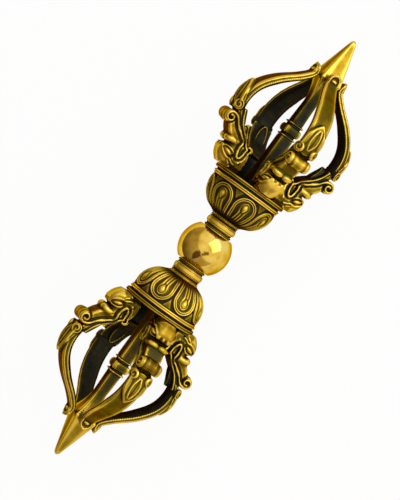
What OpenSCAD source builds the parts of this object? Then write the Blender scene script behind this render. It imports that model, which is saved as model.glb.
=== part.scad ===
// Five-pronged dorje vajra, in millimetres.
// Each piece is drawn on an upright axis, in its place above the ball's centre.
// lay_down() then lays the axis along +X, with the lower prongs resting on Z = 0.

/* [Ball] */
// Diameter of the polished ball
ball_d = 16.4; // [14:0.2:19]
// Height of the ball between the flats that the neck rings bear on
ball_h = 12; // [10:0.2:13]

/* [Core stud] */
// Diameter of the stud that ties the stack together
stud_d = 2.5; // [2:0.1:2.8]
// Depth that the stud screws into each centre prong
stud_grip = 6; // [4:0.5:9]
// Radial clearance of the plain holes on the stud
stud_clear = 0.1; // [0.05:0.05:0.2]
// Radial clearance of the stud's thread in a centre prong
thread_clear = 0.05; // [0.02:0.01:0.1]

/* [Neck rings] */
// Outside diameter of the neck rings
neck_d = 9.7; // [9:0.1:10.6]
// Height of the bead ring beside the ball
ball_ring_h = 1.6; // [1.2:0.1:2.2]
// Height of the polished band ring
band_ring_h = 1.6; // [1:0.1:2.4]
// Height that the band ring swells at its middle
band_swell = 0.2; // [0.1:0.05:0.4]
// Height of the bead ring beside the lotus cup
cup_ring_h = 1.2; // [1:0.1:2]
// Radius of the bead on a bead ring
bead_r = 0.4; // [0.25:0.05:0.45]

/* [Lotus cups] */
// Diameter of the cup at its mouth, under the petals
cup_d = 21.8; // [20:0.2:23]
// Height of the cup
cup_h = 10.6; // [9:0.2:13]
// How soon the cup fills out above its neck
bowl_fullness = 2.8; // [2:0.1:3.4]
// Height of the plain neck at the foot of the cup
cup_neck_h = 0.3; // [0.2:0.1:1]
// Height of the plain band round the mouth
cup_band_h = 0.9; // [0.6:0.1:1.5]
// Wall of the cup
cup_wall = 1.8; // [1.4:0.1:2.4]
// Thickness of the cup's floor, at the stud
cup_floor = 2.6; // [2:0.1:4]
// Number of petals round a cup
petal_count = 8; // [6:1:10]
// Height that the petals stand proud of the cup
petal_relief = 0.55; // [0.3:0.05:0.8]
// Width of a petal's raised border
petal_border = 0.8; // [0.5:0.05:0.9]
// Width of the groove between two petals
petal_groove = 0.5; // [0.4:0.1:1]
// Diameter of the drop-shaped boss on a petal
petal_boss_d = 2.8; // [1.6:0.1:3.2]
// Turn of the upper cup against its prongs, in degrees
upper_cup_turn = -8.5; // [-22:0.5:22]
// Turn of the lower cup against its prongs, in degrees
lower_cup_turn = 4; // [-22:0.5:22]

/* [Prong seats] */
// Diameter of the seat at its top rim
seat_d = 24.6; // [24:0.2:27]
// Height of the seat above the cup
seat_h = 2.4; // [2.2:0.1:3.4]
// Height of the rounded top rim
rim_h = 1.2; // [0.8:0.1:1.4]
// Height of the thin ridge where the seat meets the cup
ridge_h = 0.6; // [0.4:0.1:0.8]
// Distance that the ridge is set in from the rim
ridge_set = 0.6; // [0.3:0.1:1]
// Depth of the groove between rim and ridge
rim_groove = 0.9; // [0.5:0.1:1.2]
// Depth of the spigot in the mouth of the cup
spigot_h = 1.2; // [0.8:0.1:2]
// Clearance round the spigot, and round each tenon in its mortise
seat_clear = 0.1; // [0.05:0.01:0.2]

/* [Centre prongs] */
// Height of the centre prong from its seat to its point
spike_h = 52.8; // [46:0.2:60]
// Height of the four-sided point
point_h = 14.1; // [11:0.1:18]
// Width of the point's base across its corners
point_d = 10.6; // [9:0.1:12]
// Width of the blunt tip across its corners
tip_d = 1.9; // [1:0.1:2.4]
// Width of the square shaft across its corners, below the knop
shaft_d = 6; // [5.6:0.1:6.4]
// Width of the shaft across its corners, at its waist above the knop
waist_d = 4.9; // [4:0.1:5.4]
// Height of the flare from the waist to the point
flare_h = 9; // [7:0.2:11]
// Height of the knop's middle above the seat
knop_z = 20.1; // [17:0.1:23]
// Width of the knop across its corners
knop_d = 7.7; // [7:0.1:8.4]
// Height of the knop
knop_h = 2.6; // [2:0.1:3.2]
// Width of the two fillets beside the knop, across their corners
fillet_d = 6.8; // [6.5:0.1:7.4]
// Height of a fillet, and of the groove between it and the knop
fillet_h = 0.6; // [0.4:0.1:0.9]

/* [Outer prongs] */
// Turn that sets the two bottom prongs wider apart than square and the top ones closer, in degrees
prong_turn = 2; // [0:0.5:4]
// Radius at the middle of the head's foot
foot_r = 9.9; // [9.4:0.1:10.4]
// Greatest radius of the bow, at the middle of the blade
bow_r = 18.6; // [17.4:0.1:20.4]
// Height of that radius above the seat
bow_z = 20.8; // [18.4:0.1:23]
// Height of the prong's tip above the base of the point
tip_rise = 2.7; // [1:0.1:4]
// Clearance between a prong's tip and the point that it leans on
tip_clear = 0.15; // [0.1:0.05:0.4]
// Width of the blade
blade_w = 5.9; // [5:0.1:6.6]
// Width of the blade at its tip
blade_tip_w = 3.8; // [3:0.1:4.6]
// Radius of the scroll that ends the blade
tip_scroll_r = 1.2; // [1:0.05:1.4]
// Thickness of the blade at the bow
blade_t = 2.9; // [2.4:0.1:3.4]
// Thickness of the blade at its tip
blade_tip_t = 2.4; // [1.8:0.1:2.8]
// Width of the raised border along the blade's sides
border_w = 0.8; // [0.5:0.1:1.2]
// Height that the border stands proud of the blade
border_relief = 0.25; // [0.15:0.05:0.5]
// Radius at which the tenons stand in the seat
tenon_r = 9; // [8.6:0.1:9.4]
// Width of a tenon
tenon_w = 4; // [3:0.1:5]
// Thickness of a tenon
tenon_t = 2.4; // [1.8:0.1:2.8]
// Length of a tenon
tenon_h = 1.5; // [1:0.1:1.6]

/* [Makara heads] */
// Height of the head, from the seat up to the root of the snout
head_h = 12; // [11.4:0.1:12.6]
// Width of the head
head_w = 7.3; // [6.6:0.1:8]
// Width of the curled snout
curl_w = 6.4; // [5.6:0.1:7.4]
// Radius of the curled snout
curl_r = 2.05; // [1.75:0.05:2.3]
// Depth of the scroll cut into the ends of the snout
scroll_cut = 0.4; // [0.2:0.1:0.8]
// Thickness of the lips
lip_t = 0.8; // [0.5:0.1:1]
// Height that the lips stand proud of the head
lip_relief = 0.25; // [0.15:0.05:0.5]
// Diameter of an eye
eye_d = 1.7; // [1.2:0.1:2.2]
// Diameter of a nostril swelling
nostril_d = 2.9; // [2:0.1:3.6]
// Width of the flame leaf on the outside of the blade
leaf_w = 7; // [6:0.1:7.2]
// Height that the flame leaf stands proud of the blade
leaf_relief = 1.5; // [1:0.1:2]
// Radius of the scroll on each side of the flame leaf's root
leaf_scroll_r = 1.25; // [1:0.05:1.4]
// Distance across the two scrolls
leaf_scroll_w = 7.4; // [7:0.1:7.6]
// Height that the tongue leaf stands away from the inside of the blade
tongue_rise = 2; // [1:0.1:2.6]

/* [Hidden] */
$fn = 48;
overcut = 1;

ENDS = ["upper", "lower"];
STACK = ["ball_ring", "band_ring", "cup_ring", "lotus_cup", "prong_seat", "centre_prong"];
// Each outer prong's name and its turn about the axis
PRONGS = [
    ["back_bottom", 45 + prong_turn],
    ["back_top", 135 + prong_turn],
    ["front_top", 225 - prong_turn],
    ["front_bottom", 315 - prong_turn]
];

// Heights of the stack's joints above the ball's centre
ball_top = ball_h / 2;
band_z = ball_top + ball_ring_h;
cup_ring_z = band_z + band_ring_h;
cup_z = cup_ring_z + cup_ring_h;
cup_top = cup_z + cup_h;
seat_top = cup_top + seat_h;
point_z = seat_top + spike_h - point_h;

// The cup's side is one curve, from its neck up to the band round its mouth
neck_r = neck_d / 2;
cup_r = cup_d / 2;
mouth_r = cup_r - cup_wall;
bowl_z = cup_top - cup_band_h;
bowl_foot = cup_z + cup_neck_h;
bowl_steps = 8;
function bowl_at(z, proud) =
    lerp(neck_r + proud / 3, cup_r + proud,
        1 - ((bowl_z - z) / (bowl_z - bowl_foot)) ^ bowl_fullness);

// Points of the head are [outwards, upwards] from its foot, in twelfths of its height
head_unit = head_h / 12;
function at_head(p) = [foot_r, seat_top] + p * head_unit;

// The snout's lower corner is what the vajra rests on
curl_at = at_head([9.75, 12.9]);
rest_h = (curl_at[0] + curl_r) * cos(45 + prong_turn) + curl_w / 2 * sin(45 + prong_turn);

// Middle line of the blade, as [radius, height, half thickness, half width].
// It leaves the mouth, bows out and comes in again to lean on the point.
tip_r = point_d / 2 * cos(45) + tip_clear + blade_tip_t / 2;
tip_z = point_z + tip_rise;
bow = [bow_r, seat_top + bow_z];
throat = at_head([4.8, 11.4]);
function blade_point(from, to, share_r, share_z, t, w) =
    [lerp(from[0], to[0], share_r), lerp(from[1], to[1], share_z), t / 2, w / 2];
tip = [tip_r, tip_z];
blade = [
    blade_point(at_head([1.3, 7]), throat, 0, 0, blade_t * 0.93, blade_w),
    blade_point(throat, bow, 0, 0, blade_t * 0.86, blade_w),
    blade_point(throat, bow, 0.82, 0.5, blade_t * 0.88, blade_w),
    blade_point(throat, bow, 1, 1, blade_t, blade_w),
    blade_point(bow, tip, 0.11, 0.23, blade_t, blade_w),
    blade_point(bow, tip, 0.4, 0.46, lerp(blade_t, blade_tip_t, 0.4), blade_w),
    blade_point(bow, tip, 0.8, 0.68, lerp(blade_t, blade_tip_t, 1.2), lerp(blade_w, blade_tip_w, 0.5)),
    blade_point(bow, tip, 1, 0.82, blade_tip_t, blade_tip_w),
    blade_point(bow, tip, 1, 0.91, blade_tip_t, blade_tip_w),
    blade_point(bow, tip, 0.98, 1, blade_tip_t * 0.5, blade_tip_w * 0.6)
];

function lerp(a, b, t) = a + (b - a) * t;
function reversed(list) = [for (i = [len(list) - 1 : -1 : 0]) list[i]];

// A smooth curve through points of any dimension
function spline_at(p, i, t) =
    let (
        a = p[max(i - 1, 0)],
        b = p[i],
        c = p[i + 1],
        d = p[min(i + 2, len(p) - 1)],
        bend = (2 * a - 5 * b + 4 * c - d) * t ^ 2,
        twist = (3 * b - a - 3 * c + d) * t ^ 3
    )
    b + ((c - a) * t + bend + twist) / 2;
function spline(p, steps) = concat(
    [for (i = [0 : len(p) - 2]) for (k = [0 : steps - 1]) spline_at(p, i, k / steps)],
    [p[len(p) - 1]]
);

// The direction away from the axis, square to a path of [radius, height] points
function outward(path, i) =
    let (along = path[min(i + 1, len(path) - 1)] - path[max(i - 1, 0)])
    [along[1], -along[0]] / norm([along[0], along[1]]);

// A ring round a path's point, from [outwards, sideways] offsets
function ring_at(path, i, offsets) =
    let (out = outward(path, i))
    [for (o = offsets) [path[i][0] + out[0] * o[0], o[1], path[i][1] + out[1] * o[0]]];

// One closed skin over a row of rings that have equally many points
module skin(rings) {
    n = len(rings[0]);
    last = (len(rings) - 1) * n;
    polyhedron(
        points = [for (ring = rings) each ring],
        faces = concat(
            [for (i = [0 : len(rings) - 2]) for (k = [0 : n - 1])
                [i * n + k, (i + 1) * n + k, i * n + (k + 1) % n]],
            [for (i = [0 : len(rings) - 2]) for (k = [0 : n - 1])
                [(i + 1) * n + k, (i + 1) * n + (k + 1) % n, i * n + (k + 1) % n]],
            [for (k = [1 : n - 2]) [0, k, k + 1]],
            [for (k = [1 : n - 2]) [last, last + k + 1, last + k]]
        )
    );
}

// A strip along a path in a prong's own plane, running the whole width of the prong
module strip(path, thickness, width) {
    edge = [for (i = [0 : len(path) - 1]) outward(path, i) * thickness / 2];
    rotate([90, 0, 0])
        linear_extrude(width, center = true)
            polygon(concat(path + edge, reversed(path - edge)));
}

module lay_down() {
    translate([0, 0, rest_h]) rotate([0, 90, 0]) children();
}

// The lower end is the upper one turned over
module at_end(end, turn) {
    lay_down() rotate([0, 0, turn]) rotate([end == "lower" ? 180 : 0, 0, 0]) children();
}

module stud_hole() {
    cylinder(r = stud_d / 2 + stud_clear, h = seat_top + overcut);
}

// Brass stud on which every piece of the stack is threaded
module core_stud() {
    color("#9c7a35")
        cylinder(d = stud_d, h = 2 * (seat_top + stud_grip), center = true);
}

// Turned and polished ball, cut flat where the rings bear on it
module hub_ball() {
    color("#d9b548")
        difference() {
            intersection() {
                sphere(d = ball_d);
                cube([ball_d, ball_d, ball_h], center = true);
            }
            translate([0, 0, -ball_h]) stud_hole();
        }
}

// Turned ring with a bead round its middle and a groove on each side of it
module bead_ring(z, height) {
    color("#a3802f")
        difference() {
            rotate_extrude() {
                translate([0, z]) square([neck_r - bead_r, height]);
                translate([neck_r - bead_r, z + height / 2]) circle(bead_r);
            }
            stud_hole();
        }
}

// Plain turned ring with a swollen, polished face
module band_ring() {
    face_r = (band_ring_h ^ 2 / 4 + band_swell ^ 2) / (2 * band_swell);
    color("#d9b548")
        difference() {
            rotate_extrude()
                intersection() {
                    translate([0, band_z]) square([neck_r + band_swell, band_ring_h]);
                    translate([neck_r + band_swell / 2 - face_r, band_z + band_ring_h / 2])
                        circle(face_r);
                }
            stud_hole();
        }
}

// Half section of the bowl from a height up to its band, swollen by a distance
module bowl_section(from, proud) {
    polygon(concat(
        [[0, bowl_z], [0, from]],
        [for (k = [0 : bowl_steps]) let (z = lerp(from, bowl_z, k / bowl_steps)) [bowl_at(z, proud), z]]
    ));
}

// Outline of a petal seen from outside, drawn in by a distance all round.
// Its flanks narrow with the bowl, and its top is a round arch under the band.
function petal_outline(inset) =
    let (
        spread = sin(180 / petal_count),
        arch_h = cup_r * spread,
        arch_z = bowl_z - arch_h,
        foot_z = bowl_foot + inset,
        flank = [for (k = [0 : 3])
            let (z = lerp(foot_z, arch_z, k / 4))
            [bowl_at(z, 0) * spread - petal_groove / 2 - inset, z]],
        arch_w = bowl_at(arch_z, 0) * spread - petal_groove / 2 - inset,
        arch = [for (a = [0 : 20 : 180]) [arch_w * cos(a), arch_z + (arch_h - inset) * sin(a)]]
    )
    concat(flank, arch, reversed([for (p = flank) [-p[0], p[1]]]));

// A petal's raised border, and the drop-shaped boss with its stem inside it
module petal_face() {
    boss_z = bowl_z - petal_border - petal_boss_d;
    difference() {
        polygon(petal_outline(0));
        polygon(petal_outline(petal_border));
    }
    translate([0, boss_z]) circle(d = petal_boss_d);
    polygon([[-petal_boss_d / 2, boss_z], [0, bowl_foot], [petal_boss_d / 2, boss_z]]);
}

// Hollow lotus cup with its ring of petals
module lotus_cup() {
    color("#94762c")
        difference() {
            union() {
                rotate_extrude() {
                    bowl_section(bowl_foot, 0);
                    translate([0, cup_z]) square([neck_r, cup_neck_h]);
                    translate([0, bowl_z]) square([cup_r + petal_relief, cup_band_h]);
                }
                intersection() {
                    rotate_extrude() bowl_section(bowl_foot, petal_relief);
                    for (k = [1 : petal_count])
                        rotate([90, 0, 90 + 360 * k / petal_count])
                            translate([0, 0, mouth_r / 3]) linear_extrude(cup_r) petal_face();
                }
            }
            rotate_extrude() {
                bowl_section(cup_z + cup_floor, -cup_wall);
                translate([0, bowl_z]) square([mouth_r, cup_band_h + overcut]);
            }
            stud_hole();
        }
}

// Moulded disc that closes the cup, with a mortise for each outer prong
module prong_seat() {
    seat_r = seat_d / 2;
    ridge_r = seat_r - ridge_set;
    pocket = [tenon_t, tenon_w, tenon_h + overcut] + [2, 2, 1] * seat_clear;
    color("#b08c36")
        difference() {
            rotate_extrude() {
                translate([0, cup_top - spigot_h]) square([mouth_r - seat_clear, spigot_h]);
                translate([0, cup_top]) square([seat_r - rim_groove, seat_h]);
                translate([ridge_r - ridge_h / 2, cup_top + ridge_h / 2]) circle(d = ridge_h);
                translate([0, seat_top - rim_h]) square([seat_r - rim_h / 2, rim_h]);
                translate([seat_r - rim_h / 2, seat_top - rim_h / 2]) circle(d = rim_h);
            }
            stud_hole();
            for (prong = PRONGS)
                rotate([0, 0, prong[1]])
                    translate([tenon_r, 0, seat_top + overcut / 2 - tenon_h / 2 - seat_clear / 2])
                        cube(pocket, center = true);
        }
}

// Square centre prong, with a knop half way up and a four-sided point
module centre_prong() {
    groove_d = shaft_d - fillet_h;
    knop_low = seat_top + knop_z - knop_h / 2;
    knop_high = knop_low + knop_h;
    point_top = seat_top + spike_h;
    // Heights and widths across corners, from the foot to the tip
    levels = concat(
        [[seat_top, shaft_d]],
        [[knop_low - 2.5 * fillet_h, shaft_d], [knop_low - 2 * fillet_h, fillet_d]],
        [[knop_low - fillet_h, fillet_d], [knop_low - fillet_h / 2, groove_d]],
        [for (a = [0 : 30 : 180])
            [lerp(knop_low, knop_high, (1 - cos(a)) / 2), lerp(groove_d, knop_d, sin(a))]],
        [[knop_high + fillet_h / 2, groove_d], [knop_high + fillet_h, fillet_d]],
        [[knop_high + 2 * fillet_h, fillet_d], [knop_high + 2.5 * fillet_h, groove_d]],
        [for (t = [0 : 0.2 : 1]) [point_z - flare_h * (1 - t), lerp(waist_d, point_d, t ^ 2)]],
        [[point_top - tip_d / 3, tip_d], [point_top, tip_d / 2]]
    );
    color("#c29c3d")
        difference() {
            skin([for (level = levels) [for (a = [45 : 90 : 315])
                [level[1] / 2 * cos(a), level[1] / 2 * sin(a), level[0]]]]);
            translate([0, 0, seat_top - overcut])
                cylinder(r = stud_d / 2 + thread_clear, h = stud_grip + thread_clear + overcut);
        }
}

// The blade of an outer prong: a raised border along the middle of each side,
// bevelled to a narrower face inside and narrowed with softened edges outside
module prong_blade() {
    path = spline(blade, 2);
    skin([for (i = [0 : len(path) - 1])
        let (
            t = path[i][2],
            w = path[i][3],
            low = -border_w * 0.45,
            high = low + border_w,
            edge = [
                [-t, -w * 0.6], [low, -w - border_relief], [high, -w - border_relief], [high, -w * 0.95],
                [t, -w * 0.78]
            ]
        )
        ring_at(path, i, concat(edge, reversed([for (e = edge) [e[0], -e[1]]])))]);
}

// Skull and jaws of the makara, as level slices: height above the seat, then how far
// the slice reaches inwards and outwards from the foot, and its share of the head's width
module makara_skull() {
    slices = [
        [0, -2.5, 4.2, 0.84],
        [1.5, -2.8, 5.6, 0.95],
        [3.1, -2.8, 6.2, 1],
        [4.6, -2.8, 6.1, 0.98],
        [5.9, -2.7, 5.3, 0.93],
        [7.2, -2, 6.6, 0.91],
        [8.7, 0.4, 6.9, 0.88],
        [12, 4.8, 8.9, 0.8]
    ];
    function squarish(v) = sign(v) * abs(v) ^ 0.6;
    skin([for (s = slices) [for (a = [0 : 36 : 324]) [
        foot_r + ((s[2] + s[1]) / 2 + (s[2] - s[1]) / 2 * squarish(cos(a))) * head_unit,
        head_w / 2 * s[3] * squarish(sin(a)),
        seat_top + s[0] * head_unit
    ]]]);
}

// Lips: from the hook on the lower jaw, round the corner of the mouth
// and along the upper jaw to the top of the curled snout
module makara_lips() {
    mouth = [[-2.1, 8.1], [-1.4, 8.6], [-0.7, 8.1], [-0.4, 5], [0.5, 4], [1.4, 4.8],
             [1.7, 8.3], [2.2, 9.5], [5.2, 11.4], [6.9, 12.9]];
    path = concat(
        [for (p = mouth) at_head(p)],
        [for (a = [130, 100]) curl_at + (curl_r - lip_t / 2) * [cos(a), sin(a)]]
    );
    strip(path, lip_t, head_w + 2 * lip_relief);
}

// Snout rolled up into a scroll, with the turns of the scroll cut into both ends
module makara_snout() {
    turns = [for (a = [100 : -60 : -380])
        curl_at + lerp(curl_r - lip_t, lip_t / 2, (100 - a) / 480) * [cos(a), sin(a)]];
    difference() {
        translate([curl_at[0], 0, curl_at[1]])
            rotate([90, 0, 0]) cylinder(r = curl_r, h = curl_w, center = true, $fn = 22);
        for (side = [-1, 1])
            translate([0, side * curl_w / 2, 0]) strip(turns, lip_t / 2, 2 * scroll_cut);
    }
}

// Eyes and nostrils, alike on both sides of the head
module makara_features() {
    for (side = [-1, 1]) {
        hull()
            for (p = [at_head([3.2, 3.8]), at_head([4.6, 4.3])])
                translate([p[0], side * (head_w / 2 - eye_d / 3), p[1]])
                    sphere(d = eye_d, $fn = 8);
        hull()
            for (p = [at_head([4.8, 7.6]), at_head([5.9, 7.8])])
                translate([p[0], side * head_w / 4, p[1]])
                    sphere(d = nostril_d, $fn = 8);
    }
}

// Small scroll that ends the blade, tangent to its inner face
module tip_scroll() {
    translate([tip_r - blade_tip_t / 2 + tip_scroll_r, 0, tip_z - tip_scroll_r])
        rotate([90, 0, 0])
            cylinder(r = tip_scroll_r, h = blade_tip_w + border_relief, center = true, $fn = 10);
}

// Pointed leaf on the blade: the spans it covers, which side, its width,
// how far down the blade's sides it wraps, and its rise at both ends
module blade_leaf(from, to, side, width, wrap, low, high) {
    steps = 7;
    along = [for (k = [0 : steps]) let (u = lerp(from, to, k / steps))
        spline_at(blade, min(floor(u), len(blade) - 2), u - floor(u))];
    skin([for (k = [0 : steps])
        let (
            t = k / steps,
            half = width / 2 * sin(180 * (0.12 + 0.85 * t ^ 0.8)) ^ 0.6,
            skin_at = along[k][2],
            rise = lerp(low, high, t),
            offsets = [
                [skin_at - wrap, -half], [skin_at + rise / 2, -half], [skin_at + rise, -half / 3],
                [skin_at + rise, half / 3], [skin_at + rise / 2, half], [skin_at - wrap, half]
            ]
        )
        ring_at(along, k, side > 0 ? offsets : [for (o = offsets) [-o[0], -o[1]]])]);
}

// Scrolls at the root of the flame leaf, one on each side of the blade
module leaf_scrolls() {
    root = spline_at(blade, 2, 0.24);
    length = leaf_scroll_w / 2 - root[3] / 2;
    for (side = [-1, 1])
        translate([root[0] + root[2] + leaf_scroll_r / 4, side * (leaf_scroll_w - length) / 2, root[1]])
            rotate([90, 0, 0]) cylinder(r = leaf_scroll_r, h = length, center = true, $fn = 10);
}

// One outer prong, a single casting with its tenon
module outer_prong() {
    color("#a8852f") {
        prong_blade();
        makara_skull();
        makara_lips();
        makara_snout();
        makara_features();
        tip_scroll();
        blade_leaf(1.56, 3.75, 1, leaf_w, blade_t * 0.4, leaf_relief * 0.7, leaf_relief);
        leaf_scrolls();
        blade_leaf(0.5, 2.4, -1, blade_w * 0.8, 0.4, 0.4, tongue_rise);
        translate([tenon_r, 0, seat_top]) cube([tenon_t, tenon_w, 2 * tenon_h], center = true);
    }
}

lay_down() core_stud();
lay_down() hub_ball();
for (end = ENDS) {
    at_end(end, 0) bead_ring(ball_top, ball_ring_h);
    at_end(end, 0) band_ring();
    at_end(end, 0) bead_ring(cup_ring_z, cup_ring_h);
    at_end(end, 45 + (end == "upper" ? upper_cup_turn : lower_cup_turn)) lotus_cup();
    at_end(end, 0) prong_seat();
    at_end(end, 45) centre_prong();
    for (prong = PRONGS)
        at_end(end, prong[1]) outer_prong();
}
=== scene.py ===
import math

import bpy
import numpy as np
from mathutils import Matrix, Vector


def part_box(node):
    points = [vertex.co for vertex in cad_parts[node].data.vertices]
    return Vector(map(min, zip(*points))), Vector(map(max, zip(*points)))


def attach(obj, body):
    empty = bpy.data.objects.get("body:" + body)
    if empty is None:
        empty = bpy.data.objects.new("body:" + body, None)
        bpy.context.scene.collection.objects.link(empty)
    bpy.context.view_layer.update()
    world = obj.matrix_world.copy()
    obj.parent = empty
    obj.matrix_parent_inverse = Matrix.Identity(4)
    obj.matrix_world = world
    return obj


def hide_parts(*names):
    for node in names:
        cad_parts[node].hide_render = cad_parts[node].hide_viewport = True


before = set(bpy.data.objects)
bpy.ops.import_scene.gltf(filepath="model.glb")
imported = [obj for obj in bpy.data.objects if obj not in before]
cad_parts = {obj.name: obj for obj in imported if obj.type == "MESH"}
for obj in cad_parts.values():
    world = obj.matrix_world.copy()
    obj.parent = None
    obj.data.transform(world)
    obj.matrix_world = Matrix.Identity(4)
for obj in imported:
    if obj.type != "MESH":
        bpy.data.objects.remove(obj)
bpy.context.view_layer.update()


# Tie stud: a drawn brass rod with a thread at each end, on which the whole stack is strung.
# The ball, the rings and the cups hide it, so its solid stays and only gets its finish.
MM = 0.001
DIE_LINE, DIE_LINE_STRETCH = 0.25, 20


def linear(colour):
    """An sRGB hex colour as linear RGBA."""
    parts = [int(colour[i:i + 2], 16) / 255 for i in (1, 3, 5)]
    return tuple(p / 12.92 if p <= 0.04045 else ((p + 0.055) / 1.055) ** 2.4 for p in parts) + (1.0,)


def add(tree, kind, inputs=None, stops=(), **settings):
    """Adds a shader node. An input is a plain value, or a node with the name of its output."""
    made = tree.nodes.new("ShaderNode" + kind)
    for name, value in settings.items():
        setattr(made, name, value)
    for name, value in (inputs or {}).items():
        if isinstance(value, tuple) and isinstance(value[0], bpy.types.Node):
            tree.links.new(value[0].outputs[value[1]], made.inputs[name])
        else:
            made.inputs[name].default_value = value
    for k, (place, colour) in enumerate(stops):
        stop = made.color_ramp.elements[k] if k < 2 else made.color_ramp.elements.new(place)
        stop.position = place
        stop.color = linear(colour)
    return made


def new_material(name):
    """An empty material with its node tree."""
    material = bpy.data.materials.new(name)
    material.use_nodes = True
    material.node_tree.nodes.clear()
    return material, material.node_tree


# Drawn brass keeps fine lines from the die, which run along the rod.
drawn_brass, tree = new_material("drawn_brass")
place = add(tree, "TexCoord")
along_rod = add(tree, "Mapping", {"Vector": (place, "Object"), "Scale": (1 / DIE_LINE_STRETCH, 1, 1)})
die_lines = add(tree, "TexNoise", {"Vector": (along_rod, "Vector"), "Scale": 1 / (DIE_LINE * MM)})
tone = add(tree, "ValToRGB", {"Fac": (die_lines, "Fac")}, [(0.3, "#8A6A2C"), (0.7, "#C09A48")])
shine = add(tree, "BsdfPrincipled", {"Base Color": (tone, "Color"), "Metallic": 1.0, "Roughness": 0.35})
add(tree, "OutputMaterial", {"Surface": (shine, "BSDF")})

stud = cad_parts["core_stud"]
stud.data.materials.clear()
stud.data.materials.append(drawn_brass)


# Ball: turned brass, bored for the stud and polished bright by hand, with a flat on each side for
# the neck rings. It is the one mirror-like piece, dulled a little by handling.
BALL_D = 16.4
BALL_H = 12.0
BORE_R = 1.35
low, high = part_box("hub_ball")
AXIS_H = (low.z + high.z) / 2 / MM
# Two brown spots on the ball, the second one smaller, are a painted reflection of the camera.
CAMERA_REFLECTION_SPOTS = [(-2.85, -1.82, AXIS_H + 7.36), (-0.6, -3.9, AXIS_H + 7.15)]
REFLECTION_SPOT_R, REFLECTION_SPOT_CORE, REFLECTION_SPOT_RAGGED = 1.5, 0.9, 2.0
SECOND_SMALLER = 0.55
STAIN, HAZE, BUFF_WAVE, BLOT = 4.0, 0.8, 7.0, 1.7


def arc(centre, radius, start, end, steps):
    """Points of an arc in [radius, height], with its angles in degrees from the outward direction."""
    a = np.radians(np.linspace(start, end, steps))
    return np.stack([centre[0] + radius * np.cos(a), centre[1] + radius * np.sin(a)], 1)


def revolve(profile, segments):
    """A closed skin turned from a closed profile of [radius, height] points."""
    profile = np.array(profile, float)
    turn = np.linspace(0, 2 * np.pi, segments, endpoint=False)
    r, z = profile[:, :1], profile[:, 1:]
    points = np.stack([r * np.cos(turn), r * np.sin(turn), z + 0 * turn], 2).reshape(-1, 3)
    rows = np.arange(len(profile))[:, None] * segments
    next_rows = np.roll(rows, -1, 0)
    columns = np.arange(segments)[None]
    next_columns = np.roll(columns, -1, 1)
    corners = [rows + columns, rows + next_columns, next_rows + next_columns, next_rows + columns]
    return points, np.stack(corners, 2).reshape(-1, 4)


def lay_down(points, end, turn):
    """Takes points drawn upright in millimetres to their place on the lying vajra, in metres."""
    p = np.array(points, float)
    if end == "lower":
        p = p * (1, -1, -1)
    c, s = math.cos(math.radians(turn)), math.sin(math.radians(turn))
    x, y = c * p[:, 0] - s * p[:, 1], s * p[:, 0] + c * p[:, 1]
    return np.stack([p[:, 2], y, AXIS_H - x], 1) * MM


def normals_of(points, faces):
    """Outward normals of a closed skin's points, and the faces turned to suit."""
    a, b, c, d = (points[faces[:, k]] for k in range(4))
    across = np.cross(c - a, d - b)
    if np.einsum("ij,ij->", across, (a + b + c + d) / 4) < 0:
        faces, across = faces[:, ::-1], -across
    normals = np.zeros_like(points)
    for k in range(4):
        for axis in range(3):
            normals[:, axis] += np.bincount(faces[:, k], across[:, axis], len(points))
    return normals / np.maximum(np.linalg.norm(normals, axis=1, keepdims=True), 1e-12), faces


def hollows(points, faces, normals, rounds):
    """How deep each point lies under the skin smoothed that many times: recesses above 0, ridges below."""
    edges = np.concatenate([faces[:, [k, (k + 1) % 4]] for k in range(4)])
    edges = np.concatenate([edges, edges[:, ::-1]])
    count = np.bincount(edges[:, 0], minlength=len(points))
    smooth = points.copy()
    for _ in range(rounds):
        for axis in range(3):
            mean = np.bincount(edges[:, 0], smooth[edges[:, 1], axis], len(points)) / count
            smooth[:, axis] += 0.7 * (mean - smooth[:, axis])
    return np.einsum("ij,ij->i", smooth - points, normals)


def make_piece(name, points, faces, node, material, patina=None):
    """A smooth piece in its place, standing for its CAD node, with the patina of each point, which on some
    pieces also holds painted shade.
    """
    mesh = bpy.data.meshes.new(name)
    mesh.from_pydata(points.tolist(), [], faces.tolist())
    mesh.polygons.foreach_set("use_smooth", np.ones(len(faces), bool))
    if patina is not None:
        mesh.attributes.new("patina", "FLOAT", "POINT").data.foreach_set("value", patina.astype(np.float32))
    mesh.materials.append(material)
    piece = bpy.data.objects.new(name, mesh)
    bpy.context.scene.collection.objects.link(piece)
    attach(piece, "root")
    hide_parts(node)


# Polished brass mirrors the room. Hand buffing leaves it slightly wavy, with faint haze and stains. A brown
# patch on the ball is a painted reflection of the camera. The edge tint keeps its rim brown, as on old
# brass.
polished_brass, tree = new_material("polished_brass")
place = add(tree, "TexCoord")
stains = add(tree, "TexNoise", {"Vector": (place, "Object"), "Scale": 1 / (STAIN * MM), "Detail": 4.0})
haze = add(tree, "TexNoise", {"Vector": (place, "Object"), "Scale": 1 / (HAZE * MM), "Detail": 3.0})
waves = add(tree, "TexNoise", {"Vector": (place, "Object"), "Scale": 1 / (BUFF_WAVE * MM), "Detail": 1.0})
tone = add(tree, "ValToRGB", {"Fac": (stains, "Fac")},
           [(0.3, "#C0902C"), (0.5, "#E6BE4E"), (0.75, "#F2D476")])
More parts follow.
